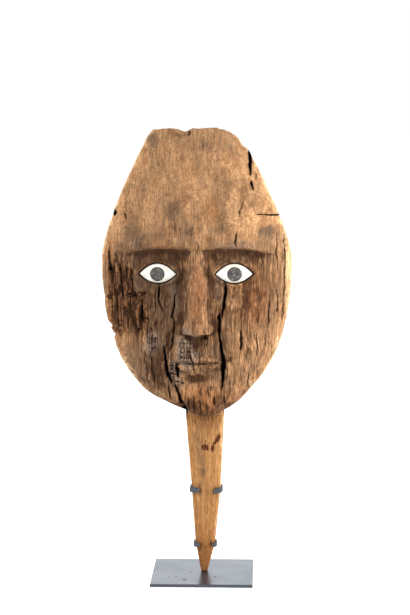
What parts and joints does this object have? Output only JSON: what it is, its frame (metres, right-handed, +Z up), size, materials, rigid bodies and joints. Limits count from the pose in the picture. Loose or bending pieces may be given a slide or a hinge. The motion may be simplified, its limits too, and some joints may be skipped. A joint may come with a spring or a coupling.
{
  "type": "funerary mask on a display stand",
  "caption": "Carved wooden funerary mask with a tapered tenon, inlaid white shell eyes with dark pupils, held by steel brackets on an upright and a flat square base plate.",
  "frame": {"origin": "middle of the underside of the base plate", "axes": "+Z up along the tenon, -Y out of the carved face, +X to the viewer's right when facing the mask"},
  "size_m": [0.1878, 0.115, 0.4525],
  "materials": {
    "old_wood": "dry, weathered and split, unpolished",
    "white_shell": "smooth, softly polished shell",
    "dark_inlay": "dull grey, finely pitted",
    "dark_steel": "satin dark blue-grey"
  },
  "bodies": {
    "root": {"mask": "old_wood", "left_eye_shell": "white_shell", "right_eye_shell": "white_shell", "left_pupil": "dark_inlay", "right_pupil": "dark_inlay", "base_plate": "dark_steel", "upright": "dark_steel", "upper_bracket": "dark_steel", "lower_bracket": "dark_steel"}
  },
  "joints": []
}
